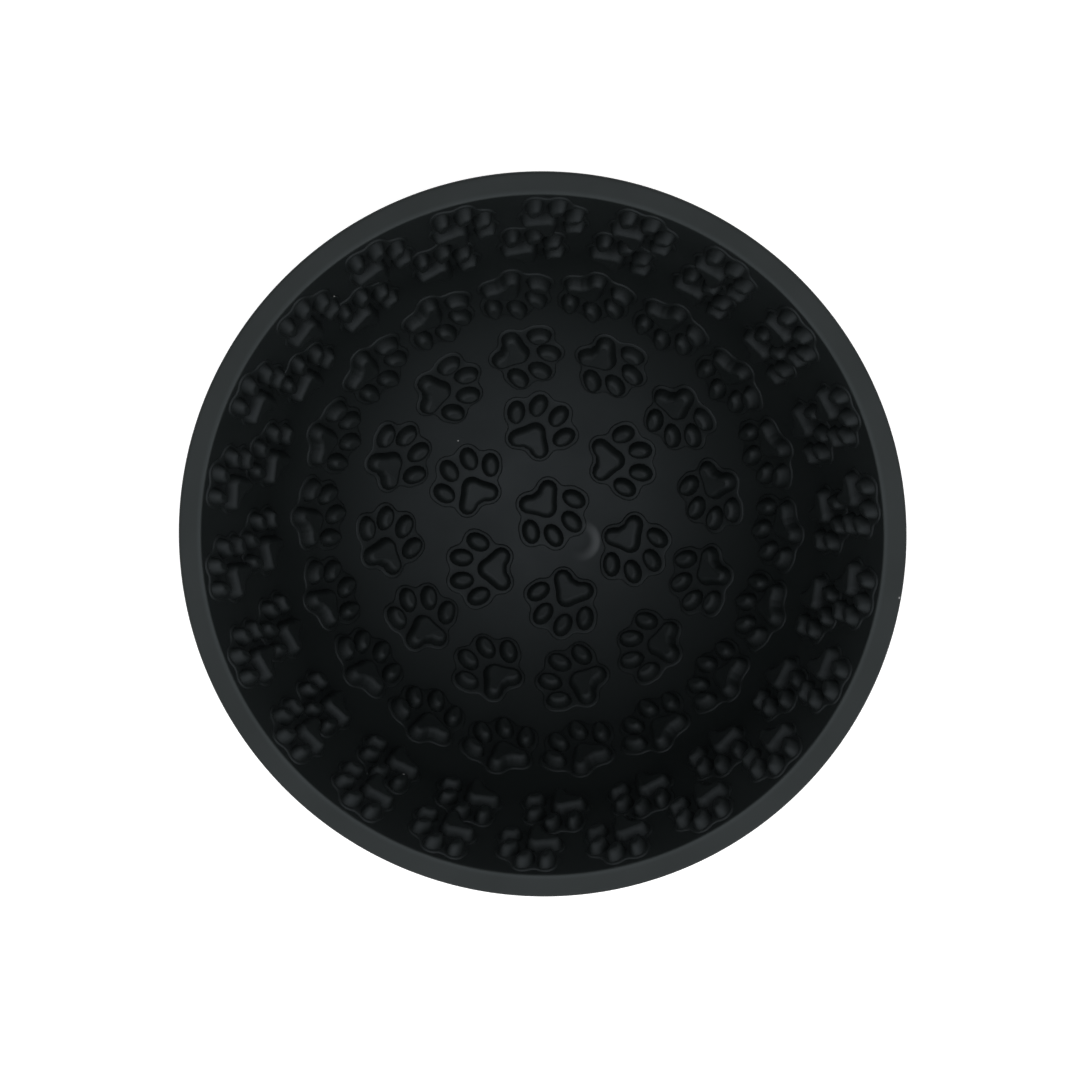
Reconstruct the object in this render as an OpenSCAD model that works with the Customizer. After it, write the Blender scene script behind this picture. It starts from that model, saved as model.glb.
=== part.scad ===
// Wobble slow feeder bowl: a round-bottomed double-walled bowl with a soft lick liner.
// Millimetres, +Z up, origin on the table under the middle of the bowl.

/* [Bowl] */
// Outside diameter of the rim
bowl_d = 165; // [160:1:170]
// Width of the flat top of the rim
rim_w = 5.1; // [4.8:0.1:6]
// Radius of the round eating floor
floor_r = 71; // [69:0.5:72]
// Lean of the straight upper wall, in degrees from level
wall_lean = 68; // [67:0.5:69]
// Height of the middle of the eating floor above the table
floor_z = 15.2; // [15.2:0.1:18]

/* [Lick liner] */
// Thickness of the soft skin
liner_t = 2.2; // [1.8:0.1:2.3]
// Thickness of the soft rim
rim_t = 3; // [2.4:0.1:4]
// Depth of the lip that hides the edge of the inner bowl
lip_h = 1.8; // [1.4:0.1:2.2]
// Radius of the rounded rim corners
rim_round = 0.8; // [0.4:0.1:1.2]
// Diameter of the shallow moulding mark beside the middle of the floor
gate_d = 7.6; // [6:0.2:8]
// Depth of the moulding mark
gate_depth = 0.35; // [0.2:0.05:0.5]

/* [Paw prints] */
// Height of the raised pads
pad_h = 2.7; // [1.6:0.1:3]
// Size of the paw prints, 1 as measured
paw_size = 1; // [0.85:0.05:1]
// Half width of a toe
toe_r = 1.9; // [1.6:0.05:2]
// Half of the length that a toe has over its width
toe_stretch = 0.9; // [0.5:0.05:1]
// Radius of the rounded corners of the main pad
pad_corner_r = 1.85; // [1.6:0.05:1.95]

/* [Inner bowl] */
// Thickness of the stiff bowl behind the liner
bowl_t = 1.8; // [1.5:0.1:2]

/* [Rocker shell] */
// Radius of the round underside
rocker_r = 78; // [77:0.5:79]
// Thickness of the outer wall
shell_t = 2.1; // [1.8:0.1:2.2]
// Thickness of the flat bottom
bottom_t = 2; // [1.6:0.1:2.2]

/* [Counterweight] */
// Thickness of the cast weight
weight_t = 4.6; // [3:0.1:4.8]
// Thickness of the rubber ring under the weight
ring_t = 1; // [0.6:0.1:1.2]
// Number of screws that hold the weight
screw_count = 3; // [3:1:4]
// Distance of the screws from the middle
screw_reach = 20; // [19:0.5:20.5]

/* [Grip foot] */
// Diameter of the non-slip foot
foot_d = 38; // [34:1:39]
// Thickness of the non-slip foot
foot_t = 2; // [1.6:0.1:2.4]
// How far the foot stands below the shell
foot_proud = 0.6; // [0.4:0.1:1]

/* [Hidden] */
$fn = 96;

// Joined solids run into each other by `lap`, and what cuts sticks out by `cut`
lap = 0.5;
cut = 1;

// Inside of the bowl: a ball that runs into a cone without a step
hair = 0.02;
overlap = 5;
rim_r = bowl_d / 2;
mouth_r = rim_r - rim_w;
floor_mid_z = floor_z + floor_r;
ball_edge_r = floor_r * sin(wall_lean);
ball_edge_z = floor_mid_z - floor_r * cos(wall_lean);
rim_z = ball_edge_z + (mouth_r - ball_edge_r) * tan(wall_lean);
ball_way = floor_r * wall_lean * PI / 180;
rim_way = ball_way + (mouth_r - ball_edge_r) / cos(wall_lean);

// Rim stack, from the top: soft rim, flange of the inner bowl, top edge of the shell
flange_z = rim_z - rim_t;
shell_top_z = flange_z - lip_h;
lip_t = 0.8;
gasket_w = 1;
gasket_t = 0.8;
gasket_r = rim_r - 1.1;

// Outside of the shell: a ball cut flat at the bottom, with a cone up to the rim
flat_w = 2;
flat_r = foot_d / 2 + flat_w;
rocker_mid_z = foot_proud + sqrt(rocker_r ^ 2 - flat_r ^ 2);
to_rim = [rim_r, shell_top_z - rocker_mid_z];
shell_lean = asin(rocker_r / norm(to_rim)) + atan2(to_rim[1], to_rim[0]);
recess_z = foot_t;
bottom_z = recess_z + bottom_t;

// Counterweight stack on the bottom of the shell
weight_z = bottom_z + ring_t;
weight_top_z = weight_z + weight_t;
weight_gap = 0.9;
ring_hole_r = 6;
ring_r = flat_r + 2;
boss_d = 7;
boss_gap = 0.3;
boss_hole_d = boss_d + 2 * boss_gap;
boss_low = 0.6;
boss_top_z = weight_top_z - boss_low;
screw_d = 3;
screw_len = 6.5;
washer_t = 0.8;
washer_d = 11;
head_d = 6;
head_h = 1.6;
drive_l = 3.4;
drive_w = 0.7;
drive_depth = 0.8;

// Tread of the foot
groove_w = 1.2;
groove_t = 0.5;
groove_step = 4;

// Moulding mark: a dish where the rubber was let into the mould
gate_share = 0.1;
gate_angle = 44;
gate_sag = (gate_d / 2) ^ 2 / (2 * floor_r) + gate_depth;
gate_dish_r = ((gate_d / 2) ^ 2 + gate_sag ^ 2) / (2 * gate_sag);

// Paw prints: rings from the middle to the rim, as counted and measured on the bowl
// paws in the ring, share of the way to the rim, angle of the first paw, turn of its toes, size
RINGS = [
    [1, -0.009, 50.4, 2, 1],
    [6, 0.2, 20.9, 39, 1],
    [12, 0.394, 20.8, 121, 1],
    [18, 0.587, 21.4, 150, 1],
    [20, 0.779, 15.1, 41, 0.9],
    [22, 0.911, 9.8, 44, 0.88],
];
paw_back = 3.6;
toe_out = [5.1, 7.1, 25];
toe_in = [9.5, 3, 5];
PIECES = [
    [0, 0, 0, "main"],
    for (side = [1, -1], toe = [toe_out, toe_in]) [toe[0], side * toe[1], side * toe[2], "toe"],
];
pad_nose = [2.6, 0];
pad_lobe = [-1.1, 3.3];
pad_notch = -2.1;
notch_side = [-0.8, -0.6];
pad_sink = 1;
inset = 0.96;

// Half section of a ball of radius `r` round `mid_z`, cut level at `low`, with a cone from it up to `top`
// The cone starts a hair inside the ball, so that the two cross cleanly
module round_section(r, mid_z, lean, low, top) {
    edge = [(r - hair) * sin(lean), mid_z - (r - hair) * cos(lean)];
    intersection() {
        translate([0, mid_z]) circle(r);
        translate([0, low]) square([r + cut, edge[1] + overlap - low]);
    }
    polygon([[0, edge[1]], edge, [edge[0] + (top - edge[1]) / tan(lean), top], [0, top]]);
}

// Half section of the space inside the liner, grown by `grow`, up to height `top`
module bowl_section(grow, top) {
    round_section(floor_r + grow, floor_mid_z, wall_lean, floor_z - grow - cut, top);
}

// Half section of the space inside the outer shell, drawn in by `inset_by`, between two heights
module shell_section(inset_by, low, top) {
    round_section(rocker_r - inset_by, rocker_mid_z, shell_lean, low, top);
}

// Flat washer-like ring between two radii and two heights
module ring(r_in, r_out, low, high) {
    rotate_extrude() translate([r_in, low]) square([r_out - r_in, high - low]);
}

// Puts its children at every screw
module at_screws() {
    for (i = [0 : screw_count - 1]) rotate(i * 360 / screw_count) translate([screw_reach, 0, 0]) children();
}

// Outline of one toe, pointing along X
module toe_outline() {
    for (end = [1, -1]) translate([end * toe_stretch, 0]) circle(toe_r, $fn = 32);
    square([2 * toe_stretch, 2 * inset * toe_r], center = true);
}

// Outline of the main pad: a rounded nose toward the toes and two lobes with a notch between them
module main_pad_outline() {
    reach = inset * pad_corner_r;
    lean = atan2(pad_lobe[1] - pad_nose[1], pad_nose[0] - pad_lobe[0]);
    out = reach * [sin(lean), cos(lean)];
    mirrored = [pad_lobe[0], -pad_lobe[1]];
    translate(pad_nose) circle(pad_corner_r, $fn = 32);
    translate(pad_lobe) circle(pad_corner_r, $fn = 32);
    translate(mirrored) circle(pad_corner_r, $fn = 32);
    polygon([
        pad_nose + out,
        pad_lobe + out,
        pad_lobe + reach * notch_side,
        [pad_notch, 0],
        mirrored + reach * [notch_side[0], -notch_side[1]],
        mirrored + [out[0], -out[1]],
        pad_nose + [out[0], -out[1]],
    ]);
}

// Lifts a drawing at the origin to a way up the wall and lays it square to the wall there
module on_wall(way) {
    slope = min(way / floor_r * 180 / PI, wall_lean);
    up = max(way - ball_way, 0);
    reach = floor_r * sin(slope) + up * cos(slope);
    height = floor_mid_z - floor_r * cos(slope) + up * sin(slope);
    translate([reach, 0, height]) rotate([0, -slope, 0]) children();
}

// Slides a drawing along the wall by `shift`, round the ball or straight up the cone
module along_wall(way, shift) {
    bend = way < ball_way ? shift : [0, shift[1]];
    translate([shift[0] - bend[0], 0, floor_r])
        rotate(a = norm(bend) / floor_r * 180 / PI, v = [bend[1], -bend[0], 0])
            translate([0, 0, -floor_r]) children();
}

// Raises an outline into a pad that is rooted in the liner
module pad() {
    translate([0, 0, -pad_sink]) linear_extrude(pad_sink + pad_h) children();
}

// One paw print on the wall: a main pad and four toes, each square to the wall where it stands
module paw(way, turn, size) {
    for (piece = PIECES) {
        from_mid = size * [piece[0] - paw_back, piece[1]];
        shift = [
            from_mid[0] * cos(turn) + from_mid[1] * sin(turn),
            from_mid[1] * cos(turn) - from_mid[0] * sin(turn),
        ];
        on_wall(way) along_wall(way, shift) rotate(piece[2] - turn) pad() scale(size) {
            if (piece[3] == "toe") toe_outline();
            else main_pad_outline();
        }
    }
}

module paws() {
    for (ring = RINGS, i = [0 : ring[0] - 1])
        rotate(-ring[2] - i * 360 / ring[0]) paw(ring[1] * rim_way, ring[3], ring[4] * paw_size);
}

// Ball that cuts the shallow moulding mark into the floor
module gate_dish() {
    rotate(-gate_angle) on_wall(gate_share * rim_way)
        translate([0, 0, gate_dish_r - gate_depth]) sphere(gate_dish_r);
}

// Soft skin of the bowl with its rim and its raised paw prints
module lick_liner() {
    color([0.16, 0.17, 0.18]) {
        difference() {
            rotate_extrude() difference() {
                union() {
                    bowl_section(liner_t, flange_z + lap);
                    translate([0, flange_z]) square([rim_r - rim_round, rim_t]);
                    translate([0, shell_top_z]) square([rim_r, rim_z - rim_round - shell_top_z]);
                    translate([rim_r - rim_round, rim_z - rim_round]) circle(rim_round);
                }
                bowl_section(0, rim_z + cut);
                difference() {
                    translate([0, shell_top_z - cut]) square([rim_r - lip_t, lip_h + cut]);
                    bowl_section(liner_t, flange_z + lap);
                }
            }
            gate_dish();
        }
        paws();
    }
}

// Stiff bowl that carries the liner, with a flange that lies on the shell
module inner_bowl() {
    color([0.13, 0.13, 0.14]) rotate_extrude() difference() {
        union() {
            bowl_section(liner_t + bowl_t, shell_top_z + lap);
            translate([0, shell_top_z]) square([rim_r - lip_t, lip_h]);
        }
        bowl_section(liner_t, flange_z + cut);
    }
}

// Seal between the flange of the inner bowl and the top edge of the shell
module rim_gasket() {
    color([0.45, 0.46, 0.47])
        ring(gasket_r - gasket_w / 2, gasket_r + gasket_w / 2, shell_top_z - gasket_t, shell_top_z);
}

// Outer wall with the round underside that the bowl rocks on
module rocker_shell() {
    color([0.11, 0.11, 0.12]) difference() {
        union() {
            rotate_extrude() difference() {
                shell_section(0, foot_proud, shell_top_z);
                shell_section(shell_t, bottom_z, shell_top_z + cut);
            }
            at_screws() translate([0, 0, bottom_z - lap])
                cylinder(d = boss_d, h = boss_top_z - bottom_z + lap);
        }
        translate([0, 0, foot_proud - cut]) cylinder(d = foot_d, h = recess_z - foot_proud + cut);
        ring(gasket_r - gasket_w / 2, gasket_r + gasket_w / 2, shell_top_z - gasket_t, shell_top_z + cut);
        at_screws() translate([0, 0, weight_top_z + washer_t - screw_len])
            cylinder(d = screw_d, h = screw_len);
    }
}

// Cast disc with a rounded edge that follows the shell and keeps the bowl upright
module counterweight() {
    color([0.33, 0.33, 0.34]) difference() {
        rotate_extrude() intersection() {
            translate([0, rocker_mid_z]) circle(rocker_r - shell_t - weight_gap);
            translate([0, weight_z]) square([rocker_r, weight_t]);
        }
        at_screws() translate([0, 0, weight_z - cut]) cylinder(d = boss_hole_d, h = weight_t + 2 * cut);
    }
}

// Rubber ring that stops the weight from rattling on the shell
module anti_rattle_ring() {
    color([0.6, 0.6, 0.58]) difference() {
        ring(ring_hole_r, ring_r, bottom_z, weight_z);
        at_screws() translate([0, 0, bottom_z - cut]) cylinder(d = boss_hole_d, h = ring_t + 2 * cut);
    }
}

// Washers that carry the screws' clamp over the boss holes to the weight
module weight_washers() {
    color([0.75, 0.76, 0.77]) at_screws() translate([0, 0, weight_top_z]) difference() {
        cylinder(d = washer_d, h = washer_t);
        translate([0, 0, -cut]) cylinder(d = screw_d, h = washer_t + 2 * cut);
    }
}

// Pan-head screws in the bosses of the shell
module weight_screws() {
    color([0.7, 0.71, 0.73]) at_screws() translate([0, 0, weight_top_z + washer_t]) {
        difference() {
            cylinder(d = head_d, h = head_h);
            for (turn = [0, 90]) rotate(turn) translate([0, 0, head_h])
                cube([drive_l, drive_w, 2 * drive_depth], center = true);
        }
        translate([0, 0, -screw_len]) cylinder(d = screw_d, h = screw_len);
    }
}

// Non-slip disc that the bowl stands on, with round tread grooves
module grip_foot() {
    color([0.2, 0.2, 0.21]) difference() {
        cylinder(d = foot_d, h = foot_t);
        for (i = [1, 2]) {
            groove_r = foot_d / 2 - i * groove_step;
            ring(groove_r - groove_w, groove_r, -cut, groove_t);
        }
    }
}

lick_liner();
inner_bowl();
rim_gasket();
rocker_shell();
counterweight();
anti_rattle_ring();
weight_washers();
weight_screws();
grip_foot();
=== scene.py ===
"""Looks of a wobble slow feeder bowl: a round-bottomed bowl with a soft rubber lick liner.

Lengths in the sections are in millimetres and become metres when a mesh is made.
"""

import bpy
import numpy as np
from mathutils import Matrix, Vector


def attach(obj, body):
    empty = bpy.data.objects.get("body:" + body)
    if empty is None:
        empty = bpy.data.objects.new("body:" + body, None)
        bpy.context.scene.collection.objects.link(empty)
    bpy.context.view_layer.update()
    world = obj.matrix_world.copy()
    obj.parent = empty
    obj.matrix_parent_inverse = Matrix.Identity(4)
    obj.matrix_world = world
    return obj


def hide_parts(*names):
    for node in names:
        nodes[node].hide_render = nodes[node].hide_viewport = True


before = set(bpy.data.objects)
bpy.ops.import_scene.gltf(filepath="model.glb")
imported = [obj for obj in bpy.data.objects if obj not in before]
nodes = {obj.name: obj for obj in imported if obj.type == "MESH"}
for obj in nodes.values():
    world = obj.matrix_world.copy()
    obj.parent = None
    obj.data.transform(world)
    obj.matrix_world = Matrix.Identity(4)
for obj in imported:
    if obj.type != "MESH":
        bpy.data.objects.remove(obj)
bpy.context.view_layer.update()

# Rocker shell: the outer wall with the round underside that the bowl rocks on.
# One injection moulding in black polypropylene, with a fine spark-eroded texture outside
# and three screw bosses inside; the foot's recess and the gasket's groove are moulded in.

RIM_R = 82.5
FLAT_R = 21.0
ROCKER_R = 78.0
SHELL_T = 2.1
FOOT_R = 19.0
FOOT_T = 2.0
FOOT_PROUD = 0.6
BOTTOM_Z = 4.0
FLOOR_R = 71.0
FLOOR_Z = 15.2
WALL_LEAN = np.radians(68.0)
MOUTH_R = 77.4
RIM_T = 3.0
LIP_H = 1.8
SEAM_IN, SEAM_TOP_IN, SEAM_H = 0.15, 0.25, 0.3
GASKET_OUT, GASKET_IN, GASKET_DEEP = 0.6, 1.6, 0.8

BALL_MID_Z = FLOOR_Z + FLOOR_R
BALL_WAY = FLOOR_R * WALL_LEAN
RIM_Z = (BALL_MID_Z - FLOOR_R * np.cos(WALL_LEAN)
         + (MOUTH_R - FLOOR_R * np.sin(WALL_LEAN)) * np.tan(WALL_LEAN))
FLANGE_Z = RIM_Z - RIM_T
SHELL_TOP_Z = FLANGE_Z - LIP_H
ROCKER_MID_Z = FOOT_PROUD + np.sqrt(ROCKER_R**2 - FLAT_R**2)
SHELL_LEAN = (np.arcsin(ROCKER_R / np.hypot(RIM_R, SHELL_TOP_Z - ROCKER_MID_Z))
              + np.arctan2(SHELL_TOP_Z - ROCKER_MID_Z, RIM_R))


def arc(mid_r, mid_z, r, start, end, count):
    """Points of a circle in the half section: angles run from straight down (0) outward."""
    a = np.radians(np.linspace(start, end, count))
    return np.stack([mid_r + r * np.sin(a), mid_z - r * np.cos(a)], 1)


def line(a, b, count):
    """Evenly spaced points from a up to, but not with, b."""
    t = np.arange(count)[:, None] / count
    return np.array(a) * (1 - t) + np.array(b) * t


def turned(profile, turns):
    """A half section carried once round the Z axis.

    Point (i, j) is profile point j at angle 2 pi i / turns; the quads join neighbours in i and j.
    The profile runs from axis to axis or closes on itself, anticlockwise in (radius, height)."""
    a = 2 * np.pi * np.arange(turns)[:, None] / turns
    r, z = profile[:, 0], profile[:, 1]
    points = np.stack([r * np.cos(a), r * np.sin(a), np.broadcast_to(z, (turns, len(r)))], -1)
    index = np.arange(turns * len(r)).reshape(turns, len(r))
    after = np.roll(index, -1, 0)
    quads = np.stack([index[:, :-1], after[:, :-1], after[:, 1:], index[:, 1:]], -1)
    return points.reshape(-1, 3), [quads.reshape(-1, 4)]


def make_piece(name, parts, material, slot, *replaced):
    """One mesh object in metres from parts, each (points, lists of faces with equal sides).

    Doubled points at poles are welded; faces with more than four sides stay flat."""
    start = np.cumsum([0] + [len(p) for p, _ in parts])
    points = np.concatenate([p for p, _ in parts]) / 1000
    faces = [f + s for (_, groups), s in zip(parts, start) for f in groups]
    mesh = bpy.data.meshes.new(name)
    mesh.vertices.add(len(points))
    mesh.vertices.foreach_set("co", points.astype(np.float32).ravel())
    corner = np.concatenate([f.ravel() for f in faces]).astype(np.int32)
    size = np.concatenate([np.full(len(f), f.shape[1]) for f in faces])
    mesh.loops.add(len(corner))
    mesh.loops.foreach_set("vertex_index", corner)
    mesh.polygons.add(len(size))
    mesh.polygons.foreach_set("loop_start", np.concatenate([[0], np.cumsum(size)[:-1]]).astype(np.int32))
    mesh.polygons.foreach_set("use_smooth", size < 5)
    mesh.update(calc_edges=True)
    mesh.validate()
    piece = bpy.data.objects.new(name, mesh)
    bpy.context.scene.collection.objects.link(piece)
    mesh.materials.append(material)
    weld = piece.modifiers.new("weld", "WELD")
    weld.merge_threshold = 2e-6
    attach(piece, "root")
    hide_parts(*replaced)


SHINE_SCALE = 60.0
SPECK_CELLS = 210.0
SPECK_R = 0.055


def moulded_skin():
    """Node group: fine moulded grain with uneven gloss, and a few specks of dust.

    Height is a noise of scale Grain; Shine is a slow noise; Specks is 1 within SPECK_R cell widths
    of the middles of random cells, in the share of them that Dust says. Scales are per metre."""
    group = bpy.data.node_groups.new("moulded_skin", "ShaderNodeTree")
    for name in ("Grain", "Dust"):
        group.interface.new_socket(name, in_out="INPUT", socket_type="NodeSocketFloat")
    for name in ("Height", "Shine", "Specks"):
        group.interface.new_socket(name, in_out="OUTPUT", socket_type="NodeSocketFloat")
    add = group.nodes.new
    join = group.links.new
    enter = add("NodeGroupInput")
    leave = add("NodeGroupOutput")
    place = add("ShaderNodeTexCoord")
    fine = add("ShaderNodeTexNoise")
    fine.inputs["Detail"].default_value = 3.0
    join(place.outputs["Object"], fine.inputs["Vector"])
    join(enter.outputs["Grain"], fine.inputs["Scale"])
    join(fine.outputs["Fac"], leave.inputs["Height"])
    slow = add("ShaderNodeTexNoise")
    slow.inputs["Scale"].default_value = SHINE_SCALE
    slow.inputs["Detail"].default_value = 4.0
    join(place.outputs["Object"], slow.inputs["Vector"])
    join(slow.outputs["Fac"], leave.inputs["Shine"])
    cells = add("ShaderNodeTexVoronoi")
    cells.inputs["Scale"].default_value = SPECK_CELLS
    join(place.outputs["Object"], cells.inputs["Vector"])
    near = add("ShaderNodeMath")
    near.operation = "LESS_THAN"
    near.inputs[1].default_value = SPECK_R
    join(cells.outputs["Distance"], near.inputs[0])
    split = add("ShaderNodeSeparateColor")
    join(cells.outputs["Color"], split.inputs["Color"])
    few = add("ShaderNodeMath")
    few.operation = "LESS_THAN"
    join(split.outputs["Red"], few.inputs[0])
    join(enter.outputs["Dust"], few.inputs[1])
    both = add("ShaderNodeMath")
    both.operation = "MULTIPLY"
    join(near.outputs[0], both.inputs[0])
    join(few.outputs[0], both.inputs[1])
    join(both.outputs[0], leave.inputs["Specks"])
    return group


SKIN = moulded_skin()
BLACK = (0.0026, 0.004, 0.0036)
COOL = (0.84, 0.92, 1.0)
ROUGH_DRIFT = 0.05


def moulded(name, color, rough, spec, grain, depth, dust_color, dust=0.02):
    """Material of a moulded piece: its colour with dust, roughness that drifts, grain as bump.

    The gloss is a little cool. Grain is a scale per metre and depth its height in metres;
    dust is the share of the cells that hold a speck."""
    material = bpy.data.materials.new(name)
    material.use_nodes = True
    tree = material.node_tree
    shader = tree.nodes["Principled BSDF"]
    shader.inputs["Specular IOR Level"].default_value = spec
    shader.inputs["Specular Tint"].default_value = (*COOL, 1)
    skin = tree.nodes.new("ShaderNodeGroup")
    skin.node_tree = SKIN
    skin.inputs["Grain"].default_value = grain
    skin.inputs["Dust"].default_value = dust
    paint = tree.nodes.new("ShaderNodeMix")
    paint.name = "paint"
    paint.data_type = "RGBA"
    paint.inputs[6].default_value = (*color, 1)
    paint.inputs[7].default_value = (*dust_color, 1)
    tree.links.new(skin.outputs["Specks"], paint.inputs[0])
    tree.links.new(paint.outputs[2], shader.inputs["Base Color"])
    gloss = tree.nodes.new("ShaderNodeMapRange")
    gloss.inputs["From Min"].default_value = 0.3
    gloss.inputs["From Max"].default_value = 0.7
    gloss.inputs["To Min"].default_value = rough - ROUGH_DRIFT
    gloss.inputs["To Max"].default_value = rough + ROUGH_DRIFT
    tree.links.new(skin.outputs["Shine"], gloss.inputs["Value"])
    tree.links.new(gloss.outputs["Result"], shader.inputs["Roughness"])
    bump = tree.nodes.new("ShaderNodeBump")
    bump.inputs["Strength"].default_value = 0.5
    bump.inputs["Distance"].default_value = depth
    tree.links.new(skin.outputs["Height"], bump.inputs["Height"])
    tree.links.new(bump.outputs["Normal"], shader.inputs["Normal"])
    return material


shell_plastic = moulded("shell_plastic", BLACK, rough=0.5, spec=0.4, grain=1300.0, depth=1.2e-4,
                        dust_color=(0.2, 0.2, 0.2))
round_end = np.degrees(SHELL_LEAN)
flat_start = np.degrees(np.arcsin(FLAT_R / ROCKER_R))
inner_r = ROCKER_R - SHELL_T
inner_start = np.degrees(np.arccos((ROCKER_MID_Z - BOTTOM_Z) / inner_r))
inner_top = (RIM_R - SHELL_T / np.sin(SHELL_LEAN), SHELL_TOP_Z)
shell_profile = np.concatenate([
    line((0, FOOT_T), (FOOT_R, FOOT_T), 8),
    line((FOOT_R, FOOT_T), (FOOT_R, FOOT_PROUD), 3),
    line((FOOT_R, FOOT_PROUD), (FLAT_R, FOOT_PROUD), 3),
    arc(0, ROCKER_MID_Z, ROCKER_R, flat_start, round_end, 60),
    line((ROCKER_R * np.sin(SHELL_LEAN), ROCKER_MID_Z - ROCKER_R * np.cos(SHELL_LEAN)),
         (RIM_R - SEAM_IN, SHELL_TOP_Z - SEAM_H), 14)[1:],
    np.array([[RIM_R - SEAM_IN, SHELL_TOP_Z - SEAM_H], [RIM_R - SEAM_TOP_IN, SHELL_TOP_Z]]),
    np.array([[RIM_R - GASKET_OUT, SHELL_TOP_Z], [RIM_R - GASKET_OUT, SHELL_TOP_Z - GASKET_DEEP]]),
    np.array([[RIM_R - GASKET_IN, SHELL_TOP_Z - GASKET_DEEP], [RIM_R - GASKET_IN, SHELL_TOP_Z]]),
    line(inner_top, (inner_r * np.sin(SHELL_LEAN), ROCKER_MID_Z - inner_r * np.cos(SHELL_LEAN)), 10),
    arc(0, ROCKER_MID_Z, inner_r, round_end, inner_start, 40),
    np.array([[10, BOTTOM_Z], [0, BOTTOM_Z]]),
])
BOSS_R = 3.5
BOSS_TOP_Z = 9.0
BOSS_SUNK = 0.4
BOSS_EDGE, BORE_EDGE = 0.2, 0.1
BORE_R = 1.5
BORE_Z = 3.9
SCREW_REACH = 20.0
boss_profile = np.array([
    [0, BOTTOM_Z - BOSS_SUNK], [BOSS_R, BOTTOM_Z - BOSS_SUNK],
    [BOSS_R, BOSS_TOP_Z - BOSS_EDGE], [BOSS_R - BOSS_EDGE, BOSS_TOP_Z],
    [BORE_R + BORE_EDGE, BOSS_TOP_Z], [BORE_R, BOSS_TOP_Z - BORE_EDGE],
    [BORE_R, BORE_Z], [0, BORE_Z],
])
boss_points, boss_faces = turned(boss_profile, 48)
bosses = [(boss_points + (SCREW_REACH * np.cos(a), SCREW_REACH * np.sin(a), 0), boss_faces)
          for a in np.radians((0, 120, 240))]
make_piece("rocker_shell_moulding", [turned(shell_profile, 256), *bosses], shell_plastic, "shell_plastic",
           "rocker_shell")

# Grip foot: a non-slip rubber disc pressed into the recess of the shell, with round tread grooves.
# The bowl stands on it.

TREAD_W = 1.2
TREAD_T = 0.5
TREAD_DRAFT = 0.1
TREAD_EDGES = (FOOT_R - 8, FOOT_R - 4)
FOOT_ROUND = 0.25
foot_rubber = moulded("foot_rubber", (0.02, 0.02, 0.021), rough=0.72, spec=0.35, grain=1500.0, depth=5e-5,
                      dust_color=(0.22, 0.21, 0.2), dust=0.03)
grooves = np.concatenate([
    np.array([[r - TREAD_W, 0], [r - TREAD_W + TREAD_DRAFT, TREAD_T], [r - TREAD_DRAFT, TREAD_T], [r, 0]])
    for r in TREAD_EDGES
])
foot_profile = np.concatenate([
    line((0, 0), (grooves[0, 0], 0), 4),
    grooves,
    line((TREAD_EDGES[1], 0), (FOOT_R - FOOT_ROUND, 0), 4)[1:],
    arc(FOOT_R - FOOT_ROUND, FOOT_ROUND, FOOT_ROUND, 0, 90, 5),
    np.array([[FOOT_R, FOOT_T], [10, FOOT_T], [0, FOOT_T]]),
])
make_piece("grip_foot_disc", [turned(foot_profile, 160)], foot_rubber, "foot_rubber", "grip_foot")

# Counterweight with the ring under it and its washers and screws: a cast iron disc clamped to the
# shell's bosses by zinc-plated steel, on a rubber ring that stops it from rattling. Shell and bowl
# close them in, so the solids keep their own form.

METAL_DRIFT = 0.1


def metal(name, color, rough, grain, blotch):
    """Material of a metal piece: colour and roughness drift with a noise of the given scale.

    Blotch is the share of the colour that is lost where the noise is highest."""
    material = bpy.data.materials.new(name)
    material.use_nodes = True
    tree = material.node_tree
    shader = tree.nodes["Principled BSDF"]
    shader.inputs["Metallic"].default_value = 1.0
    place = tree.nodes.new("ShaderNodeTexCoord")
    noise = tree.nodes.new("ShaderNodeTexNoise")
    noise.inputs["Scale"].default_value = grain
    noise.inputs["Detail"].default_value = 5.0
    tree.links.new(place.outputs["Object"], noise.inputs["Vector"])
    tint = tree.nodes.new("ShaderNodeMix")
    tint.data_type = "RGBA"
    tint.inputs[6].default_value = (*color, 1)
    tint.inputs[7].default_value = (*[c * (1 - blotch) for c in color], 1)
    tree.links.new(noise.outputs["Fac"], tint.inputs[0])
    tree.links.new(tint.outputs[2], shader.inputs["Base Color"])
    gloss = tree.nodes.new("ShaderNodeMapRange")
    gloss.inputs["To Min"].default_value = rough - METAL_DRIFT
    gloss.inputs["To Max"].default_value = rough + METAL_DRIFT
    tree.links.new(noise.outputs["Fac"], gloss.inputs["Value"])
    tree.links.new(gloss.outputs["Result"], shader.inputs["Roughness"])
    return material


def dress(node, material):
    """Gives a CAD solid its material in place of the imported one."""
    mesh = nodes[node].data
    mesh.materials.clear()
    mesh.materials.append(material)


dress("counterweight", metal("weight_iron", (0.16, 0.16, 0.165), rough=0.6, grain=400.0, blotch=0.4))
dress("weight_washers", metal("washer_steel", (0.62, 0.62, 0.63), rough=0.35, grain=900.0, blotch=0.15))
dress("weight_screws", metal("screw_steel", (0.58, 0.58, 0.6), rough=0.32, grain=900.0, blotch=0.15))
ring_rubber = moulded("ring_rubber", (0.35, 0.35, 0.34), rough=0.85, spec=0.2, grain=1200.0, depth=2e-4,
                      dust_color=(0.4, 0.4, 0.4))
dress("anti_rattle_ring", ring_rubber)

# Rim gasket and inner bowl: the stiff plastic bowl stands with its flange on a rubber seal in the
# shell's groove. The liner covers the bowl, and the lip hides the seal.

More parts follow.
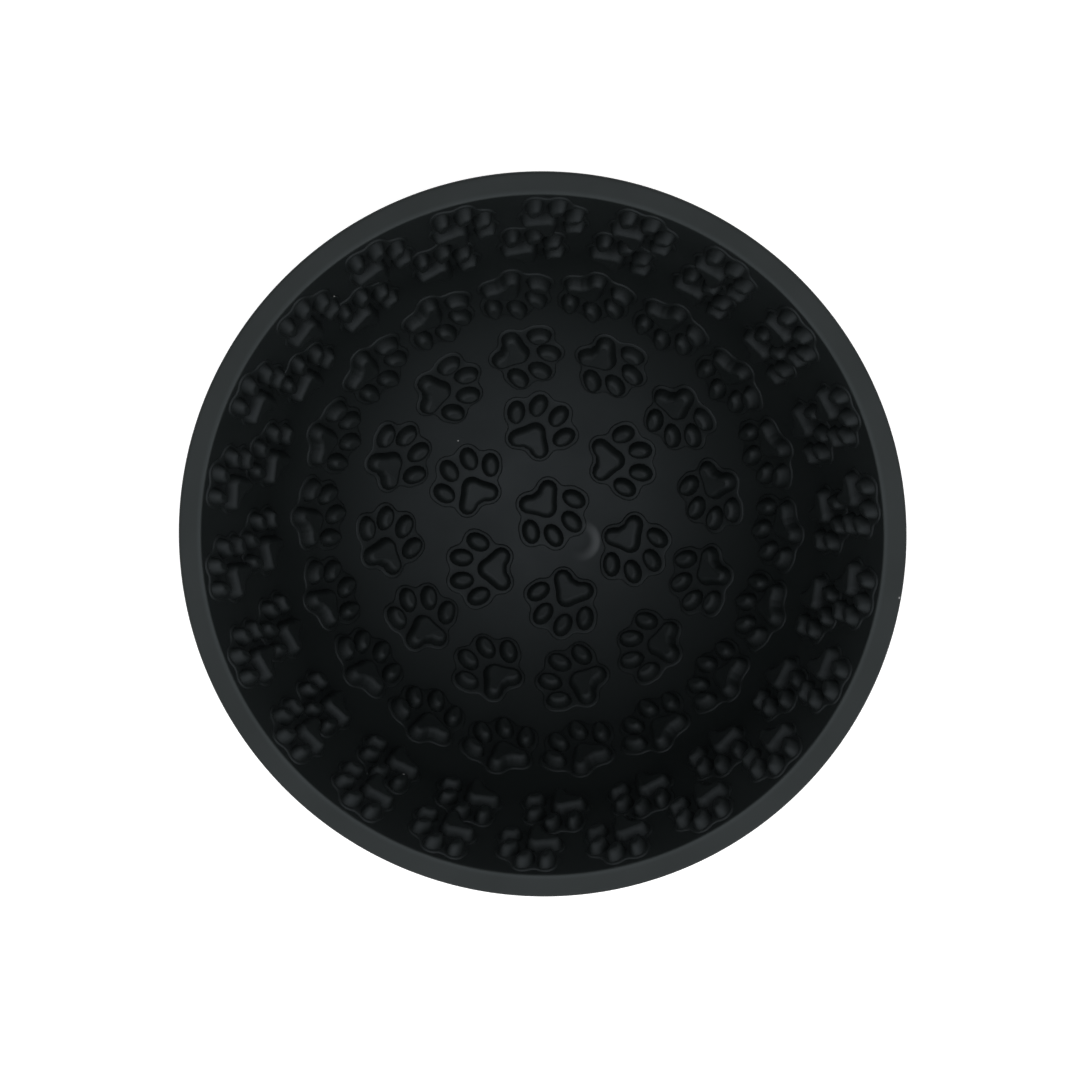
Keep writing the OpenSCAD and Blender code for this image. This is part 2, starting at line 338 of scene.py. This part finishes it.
gasket_rubber = moulded("gasket_rubber", (0.12, 0.12, 0.125), rough=0.6, spec=0.4, grain=2000.0, depth=3e-5,
                        dust_color=(0.2, 0.2, 0.2))
dress("rim_gasket", gasket_rubber)
bowl_plastic = moulded("bowl_plastic", (0.04, 0.04, 0.043), rough=0.5, spec=0.4, grain=1800.0, depth=3e-5,
                       dust_color=(0.2, 0.2, 0.2))
dress("inner_bowl", bowl_plastic)

# Lick liner: a soft black rubber skin moulded over the inner bowl, with a flat rim and a lip that
# hides the bowl's edge. It is satin and picks up a little dust. Painted highlights are laid into its
# colour:
# the flat top of the rim is painted paler, a thin paler line runs along the mouth's inner edge, and
# beside the middle a pale crescent is painted on the far slope of the shallow dish where the moulding's
# gate was cut off.

LINER_T = 2.2
LIP_T = 0.8
LIP_EDGE = 0.15
RIM_ROUND = 0.8
MOUTH_ROUND = 0.45
liner_rubber = moulded("liner_rubber", BLACK, rough=0.62, spec=0.345, grain=2600.0, depth=2.5e-5,
                       dust_color=(0.25, 0.25, 0.25))


def wall(way):
    """Half section of the eating face: a ball of FLOOR_R up to WALL_LEAN, then straight on.

    Gives radius, height and slope at a way (arc length) from the middle of the floor."""
    slope = np.minimum(way / FLOOR_R, WALL_LEAN)
    up = np.maximum(way - BALL_WAY, 0)
    return (FLOOR_R * np.sin(slope) + up * np.cos(slope),
            BALL_MID_Z - FLOOR_R * np.cos(slope) + up * np.sin(slope), slope)


RIM_WAY = BALL_WAY + (MOUTH_R - FLOOR_R * np.sin(WALL_LEAN)) / np.cos(WALL_LEAN)
turn = np.pi - WALL_LEAN
back_off = MOUTH_ROUND / np.tan(turn / 2)
face = np.stack(wall(np.linspace(0, RIM_WAY - back_off, 150))[:2], 1)
mouth_mid = (MOUTH_R + back_off, RIM_Z - MOUTH_ROUND)
mouth = arc(*mouth_mid, MOUTH_ROUND, np.degrees(WALL_LEAN) - 180, -180, 8)
top = line((mouth_mid[0], RIM_Z), (RIM_R - RIM_ROUND, RIM_Z), 6)[1:]
corner = arc(RIM_R - RIM_ROUND, RIM_Z - RIM_ROUND, RIM_ROUND, 180, 90, 8)
lip = np.array([[RIM_R, SHELL_TOP_Z + LIP_EDGE], [RIM_R - LIP_EDGE, SHELL_TOP_Z],
                [RIM_R - LIP_T, SHELL_TOP_Z], [RIM_R - LIP_T, FLANGE_Z]])
back_r = FLOOR_R + LINER_T
back_edge = (back_r * np.sin(WALL_LEAN), BALL_MID_Z - back_r * np.cos(WALL_LEAN))
back_top = (back_edge[0] + (FLANGE_Z - back_edge[1]) / np.tan(WALL_LEAN), FLANGE_Z)
back = np.concatenate([
    line(back_top, back_edge, 8),
    arc(0, BALL_MID_Z, back_r, np.degrees(WALL_LEAN), 0, 40),
])
liner_profile = np.concatenate([face, mouth, top, corner, lip, back])[::-1]
skin_points, skin_faces = turned(liner_profile, 320)
GATE_XY = (8.3, -8.0)
GATE_R = 3.8
GATE_DEPTH = 0.35
from_mid = skin_points - (0, 0, BALL_MID_Z)
on_face = np.linalg.norm(from_mid, axis=1) < FLOOR_R + 0.5 * LINER_T
from_gate = np.hypot(skin_points[:, 0] - GATE_XY[0], skin_points[:, 1] - GATE_XY[1]) / GATE_R
dish = GATE_DEPTH * np.where(on_face & (from_gate < 1), (1 - from_gate**2) ** 2, 0)
skin_points = skin_points + from_mid / FLOOR_R * dish[:, None]
# painted highlight: the flat top of the rim is painted paler, as if lit from above
RIM_HIGHLIGHT_TONE = (0.0125, 0.015, 0.0138)
# painted highlight: a thin paler line along the rounded inner edge of the mouth
MOUTH_HIGHLIGHT_TONE = (0.02, 0.024, 0.0235)
# painted highlight: a pale crescent on the far slope of the gate's shallow dish, where it would catch the
# light
CRESCENT_HIGHLIGHT_TONE = (0.053, 0.057, 0.06)
CRESCENT_MID = (7.2, -6.9, 15.9)
CRESCENT_PEAK = (11.5, -7.6, 16.5)
liner_tree = liner_rubber.node_tree
spot = liner_tree.nodes.new("ShaderNodeTexCoord").outputs["Object"]


def ramp(value, start, end):
    """Socket that rises smoothly from 0 where the value is start to 1 where it is end, in millimetres."""
    rise = liner_tree.nodes.new("ShaderNodeMapRange")
    rise.interpolation_type = "SMOOTHSTEP"
    rise.inputs["From Min"].default_value = start / 1000
    rise.inputs["From Max"].default_value = end / 1000
    liner_tree.links.new(value, rise.inputs["Value"])
    return rise.outputs["Result"]


def distance_to(point):
    """Socket with the distance of the surface from a point."""
    away = liner_tree.nodes.new("ShaderNodeVectorMath")
    away.operation = "DISTANCE"
    away.inputs[1].default_value = np.array(point) / 1000
    liner_tree.links.new(spot, away.inputs[0])
    return away.outputs["Value"]


def times(a, b):
    """Socket with the product of two sockets."""
    product = liner_tree.nodes.new("ShaderNodeMath")
    product.operation = "MULTIPLY"
    liner_tree.links.new(a, product.inputs[0])
    liner_tree.links.new(b, product.inputs[1])
    return product.outputs[0]


def tinted(base, tone, where):
    """Socket with the base, a colour or a socket, turned into the tone where the mask is 1."""
    tint = liner_tree.nodes.new("ShaderNodeMix")
    tint.data_type = "RGBA"
    tint.inputs[7].default_value = (*tone, 1)
    liner_tree.links.new(where, tint.inputs[0])
    if isinstance(base, tuple):
        tint.inputs[6].default_value = (*base, 1)
    else:
        liner_tree.links.new(base, tint.inputs[6])
    return tint.outputs[2]


level = liner_tree.nodes.new("ShaderNodeSeparateXYZ")
liner_tree.links.new(spot, level.inputs[0])
# painted highlight mask: the flat top of the rim
rim_highlight_mask = ramp(level.outputs["Z"], RIM_Z - 0.5, RIM_Z - 0.05)
from_axis = distance_to((0, 0, RIM_Z))
# painted highlight mask: a thin band along the mouth's inner edge
mouth_highlight_mask = times(ramp(level.outputs["Z"], RIM_Z - 0.7, RIM_Z - 0.1),
                 ramp(from_axis, MOUTH_R + 1.2, MOUTH_R + 0.2))
# painted highlight mask: a crescent ring round the gate dish, strongest towards its far side
from_crescent_mid = distance_to(CRESCENT_MID)
crescent_highlight_mask = times(times(ramp(from_crescent_mid, 2.2, 4.6), ramp(from_crescent_mid, 6.0, 4.9)),
                ramp(distance_to(CRESCENT_PEAK), 7.5, 0.8))
# the liner's black with the painted highlights of the rim top, mouth edge and gate crescent laid over it
painted_highlight_colour = tinted(tinted(tinted(BLACK, RIM_HIGHLIGHT_TONE, rim_highlight_mask), MOUTH_HIGHLIGHT_TONE, mouth_highlight_mask), CRESCENT_HIGHLIGHT_TONE, crescent_highlight_mask)
liner_tree.links.new(painted_highlight_colour, liner_tree.nodes["paint"].inputs[6])
make_piece("lick_liner_skin", [(skin_points, skin_faces)], liner_rubber, "liner_rubber", "lick_liner")

# Paw prints: raised rubber prints moulded with the liner, in rings from the floor to the rim.
# Each is a low lobed plate with a notched main pad and four oval toes standing on it; the pads'
# sides slant and round over into flat tops.

PLATE_H = 0.35
PAD_H = 2.6
PLATE_MARGIN = 1.4
PAW_BACK = 3.6
RIM_GAP = 0.9
NOSE, LOBE, LEG_R = (2.6, 0), (-1.1, 3.3), 1.9
MIDDLE_X, MIDDLE_R = 0.4, 2.3
TOE_A, TOE_B = 2.75, 1.8
TOES = np.array([[5.1, 7.1, 25], [9.5, 3.0, 5], [9.5, -3.0, -5], [5.1, -7.1, -25]])
# paws in the ring, share of the way to the rim, angle of the first paw, turn of its toes, size
RINGS = (
    (1, -0.009, 50.4, 2.0, 1.0),
    (6, 0.2, 20.9, 39.0, 1.0),
    (12, 0.393, 20.8, 121.0, 1.0),
    (18, 0.587, 21.4, 150.0, 1.0),
    (20, 0.781, 15.1, 41.0, 0.9),
    (22, 0.911, 9.8, 44.0, 0.88),
)


def to_leg(x, y, a, b):
    """Distance from points to the straight piece from a to b."""
    a, b = np.array(a), np.array(b)
    d = b - a
    t = np.clip(((x - a[0]) * d[0] + (y - a[1]) * d[1]) / (d @ d), 0, 1)
    return np.hypot(x - a[0] - t * d[0], y - a[1] - t * d[1])


def melt(a, b, k):
    """The smaller of two distances, with the crease between them rounded over k."""
    h = np.clip(0.5 + 0.5 * (b - a) / k, 0, 1)
    return b + (a - b) * h - k * h * (1 - h)


def main_pad_distance(x, y):
    """Distance outside the main pad: two round legs from the nose to the lobes, and a round middle."""
    legs = melt(to_leg(x, y, NOSE, LOBE), to_leg(x, y, NOSE, (LOBE[0], -LOBE[1])), 1.0) - LEG_R
    return melt(legs, np.hypot(x - MIDDLE_X, y) - MIDDLE_R, 1.2)


def paw_distance(x, y):
    """Distance outside the whole paw, counted from its middle, with the gaps between pads filled."""
    x = x + PAW_BACK
    d = main_pad_distance(x, y)
    for tx, ty, turn_deg in TOES:
        c, s = np.cos(np.radians(turn_deg)), np.sin(np.radians(turn_deg))
        u, v = (x - tx) * c + (y - ty) * s, (y - ty) * c - (x - tx) * s
        d = melt(d, to_leg(u, v, (-(TOE_A - TOE_B), 0), (TOE_A - TOE_B, 0)) - TOE_B, 2.4)
    return d


def outline(distance, level, count, far):
    """Closed outline where a distance field has a level, seen from its middle: halving along rays."""
    a = 2 * np.pi * np.arange(count) / count
    near, out = np.zeros(count), np.full(count, far)
    for _ in range(40):
        mid = (near + out) / 2
        inside = distance(mid * np.cos(a), mid * np.sin(a)) < level
        near, out = np.where(inside, mid, near), np.where(inside, out, mid)
    return np.stack([near * np.cos(a), near * np.sin(a)], 1)


def inward(path):
    """Unit normals of a closed anticlockwise outline, pointing inside."""
    along = np.roll(path, -1, 0) - np.roll(path, 1, 0)
    along /= np.linalg.norm(along, axis=1)[:, None]
    return np.stack([-along[:, 1], along[:, 0]], 1)


def stepped(path, steps):
    """Rows of a pad: the outline drawn in by each step's inset, at each step's height."""
    rows = [np.column_stack([path + inset * inward(path), np.full(len(path), h)]) for inset, h in steps]
    return np.stack(rows)


def lid_faces(rows, count):
    """Faces of a stack of rings: quads between rings, one lid on top and one below."""
    index = np.arange(rows * count).reshape(rows, count)
    after = np.roll(index, -1, 1)
    quads = np.stack([index[:-1], after[:-1], after[1:], index[1:]], -1).reshape(-1, 4)
    return quads, index[-1][None], index[0][::-1][None]


def place(ring, grid):
    """Carries a flat drawing (x toward the toes, y, height) onto the wall at every paw of a ring.

    On the ball a point goes along the great circle in its direction; on the cone it goes up by x
    and round by y. The height is then added along the wall's normal."""
    count, share, first, turn_deg, size = ring
    way = share * RIM_WAY
    t = np.radians(turn_deg)
    x = size * (grid[:, 0] * np.cos(t) + grid[:, 1] * np.sin(t))
    y = size * (grid[:, 1] * np.cos(t) - grid[:, 0] * np.sin(t))
    h = grid[:, 2]
    if way < BALL_WAY:
        far = np.hypot(x, y)
        slope = way / FLOOR_R
        step = np.sinc(far / FLOOR_R / np.pi) / FLOOR_R
        r = np.sin(slope) * np.cos(far / FLOOR_R) + np.cos(slope) * x * step
        z = -np.cos(slope) * np.cos(far / FLOOR_R) + np.sin(slope) * x * step
        out = np.stack([r, y * step, z], 1)
        flat = out * (FLOOR_R - h)[:, None] + (0, 0, BALL_MID_Z)
    else:
        wall_r, wall_z, slope = wall(np.minimum(way + x, RIM_WAY - RIM_GAP))
        r, z = wall_r - h * np.sin(slope), wall_z + h * np.cos(slope)
        round_by = y / wall_r
        flat = np.stack([r * np.cos(round_by), r * np.sin(round_by), z], 1)
    a = -np.radians(first + 360 * np.arange(count) / count)[:, None]
    turned_x = flat[:, 0] * np.cos(a) - flat[:, 1] * np.sin(a)
    turned_y = flat[:, 0] * np.sin(a) + flat[:, 1] * np.cos(a)
    return np.stack([turned_x, turned_y, np.broadcast_to(flat[:, 2], turned_x.shape)], -1)


def printed(grid, faces):
    """A drawing stamped at every paw of every ring, as one part."""
    points = np.concatenate([place(ring, grid).reshape(-1, 3) for ring in RINGS])
    start = np.arange(0, len(points), len(grid))[:, None, None]
    return points, [(f[None] + start).reshape(-1, f.shape[1]) for f in faces]


# inset from the outline and height, from below the plate up to the pad's flat top
TOP = PLATE_H + PAD_H
PAD_STEPS = ((-0.63, -0.5), (-0.6, PLATE_H - 0.05), (0.0, TOP - 0.85), (0.5, TOP - 0.24), (1.1, TOP))
PLATE_STEPS = ((0, -0.4), (0, 0.0), (0.15, PLATE_H - 0.06), (0.45, PLATE_H))
TOE_SIDES, PAD_SIDES, PLATE_SIDES = 14, 36, 56
parts = []
toe_a = 2 * np.pi * np.arange(TOE_SIDES) / TOE_SIDES
toe_path = np.stack([TOE_A * np.cos(toe_a), TOE_B * np.sin(toe_a)], 1)
toe_grid = stepped(toe_path, PAD_STEPS)
for tx, ty, turn_deg in TOES:
    c, s = np.cos(np.radians(turn_deg)), np.sin(np.radians(turn_deg))
    moved = np.stack([toe_grid[..., 0] * c - toe_grid[..., 1] * s + tx - PAW_BACK,
                      toe_grid[..., 0] * s + toe_grid[..., 1] * c + ty, toe_grid[..., 2]], -1)
    parts.append(printed(moved.reshape(-1, 3), lid_faces(len(PAD_STEPS), len(toe_path))))
pad_path = outline(main_pad_distance, 0, PAD_SIDES, 9)
pad_grid = stepped(pad_path, PAD_STEPS) - (PAW_BACK, 0, 0)
parts.append(printed(pad_grid.reshape(-1, 3), lid_faces(len(PAD_STEPS), len(pad_path))))
plate_path = outline(paw_distance, PLATE_MARGIN, PLATE_SIDES, 20)
plate_rim = stepped(plate_path, PLATE_STEPS)
plate_top = np.stack([np.column_stack([plate_path * f, np.full(len(plate_path), PLATE_H)])
                      for f in (0.8, 0.6, 0.4, 0.2)])
plate_grid = np.concatenate([plate_rim, plate_top])
parts.append(printed(plate_grid.reshape(-1, 3), lid_faces(len(plate_grid), len(plate_path))))
make_piece("lick_liner_paws", parts, liner_rubber, "liner_rubber", "lick_liner")

# Stage: a plain pale paper floor that sweeps up into a round backdrop. It shows white to the camera
# and keeps the bowl's shadow. A soft white sky and one large soft lamp above the bowl light it.


def seen_directly(tree):
    """Socket that is 1 for rays from the camera, a reflection or glass, and 0 for light on the object."""
    path = tree.nodes.new("ShaderNodeLightPath")
    seen = path.outputs["Is Camera Ray"]
    for kind in ("Is Glossy Ray", "Is Transmission Ray"):
        either = tree.nodes.new("ShaderNodeMath")
        either.operation = "MAXIMUM"
        tree.links.new(seen, either.inputs[0])
        tree.links.new(path.outputs[kind], either.inputs[1])
        seen = either.outputs[0]
    return seen


BACKDROP_R = 8000.0
SWEEP_R = 1500.0
BACKDROP_TOP = 2500.0
sweep = np.concatenate([
    np.array([[BACKDROP_R, BACKDROP_TOP]]),
    arc(BACKDROP_R - SWEEP_R, SWEEP_R, SWEEP_R, 90, 0, 24),
    np.array([[300, 0], [0, 0]]),
])
sweep_points, (sweep_faces,) = turned(sweep, 96)
sheet_mesh = bpy.data.meshes.new("floor")
sheet_mesh.from_pydata(sweep_points / 1000, [], sweep_faces.tolist())
floor = bpy.data.objects.new("floor", sheet_mesh)
bpy.context.scene.collection.objects.link(floor)
GLOW = (("From Min", 0.3), ("From Max", 1.5), ("To Min", 0.66), ("To Max", 0.95))
paper = bpy.data.materials.new("paper")
paper.use_nodes = True
paper_tree = paper.node_tree
paper_shader = paper_tree.nodes["Principled BSDF"]
paper_shader.inputs["Base Color"].default_value = (0.8, 0.8, 0.8, 1)
paper_shader.inputs["Roughness"].default_value = 0.9
paper_shader.inputs["Emission Color"].default_value = (1, 1, 1, 1)
place_on_floor = paper_tree.nodes.new("ShaderNodeTexCoord")
from_bowl = paper_tree.nodes.new("ShaderNodeVectorMath")
from_bowl.operation = "LENGTH"
paper_tree.links.new(place_on_floor.outputs["Object"], from_bowl.inputs[0])
whiten = paper_tree.nodes.new("ShaderNodeMapRange")
for name, value in GLOW:
    whiten.inputs[name].default_value = value
paper_tree.links.new(from_bowl.outputs["Value"], whiten.inputs["Value"])
glow = paper_tree.nodes.new("ShaderNodeMath")
glow.operation = "MULTIPLY"
paper_tree.links.new(seen_directly(paper_tree), glow.inputs[0])
paper_tree.links.new(whiten.outputs["Result"], glow.inputs[1])
paper_tree.links.new(glow.outputs[0], paper_shader.inputs["Emission Strength"])
sheet_mesh.materials.append(paper)

SKY = 0.3
LAMP_SIZE = 1.75
LAMP_POWER = 8.5
LAMP_AT = (0.22, -0.47, 0.66)
world = bpy.data.worlds.new("studio")
bpy.context.scene.world = world
world.use_nodes = True
sky = world.node_tree.nodes["Background"]
sky.inputs["Color"].default_value = (1, 1, 1, 1)
sky.inputs["Strength"].default_value = SKY

lamp = bpy.data.lights.new("softbox", "AREA")
lamp.shape = "DISK"
lamp.size = LAMP_SIZE
lamp.energy = LAMP_POWER
softbox = bpy.data.objects.new("softbox", lamp)
softbox.location = LAMP_AT
bpy.context.scene.collection.objects.link(softbox)

# Camera: almost straight above the mouth, leaning a little up and to the right.

FRAME_PX = 1080
RIM_PX = 364.8
CAMERA_OFF = 480.0
LEAN = np.radians(5.9)
LEAN_TO = np.radians(66.4)
camera = bpy.data.cameras.new("camera")
camera.sensor_width = 36
camera.lens = 36 * RIM_PX * CAMERA_OFF / RIM_R / FRAME_PX
eye = bpy.data.objects.new("camera", camera)
bpy.context.scene.collection.objects.link(eye)
back_axis = Vector((np.sin(LEAN) * np.cos(LEAN_TO), np.sin(LEAN) * np.sin(LEAN_TO), np.cos(LEAN)))
right_axis = Vector((0, 1, 0)).cross(back_axis).normalized()
up_axis = back_axis.cross(right_axis)
aim = Vector((0, 0, RIM_Z / 1000))
turn_to = Matrix((right_axis, up_axis, back_axis)).transposed().to_4x4()
eye.matrix_world = Matrix.Translation(aim + back_axis * CAMERA_OFF / 1000) @ turn_to
bpy.context.scene.camera = eye
bpy.context.scene.view_settings.view_transform = "Standard"
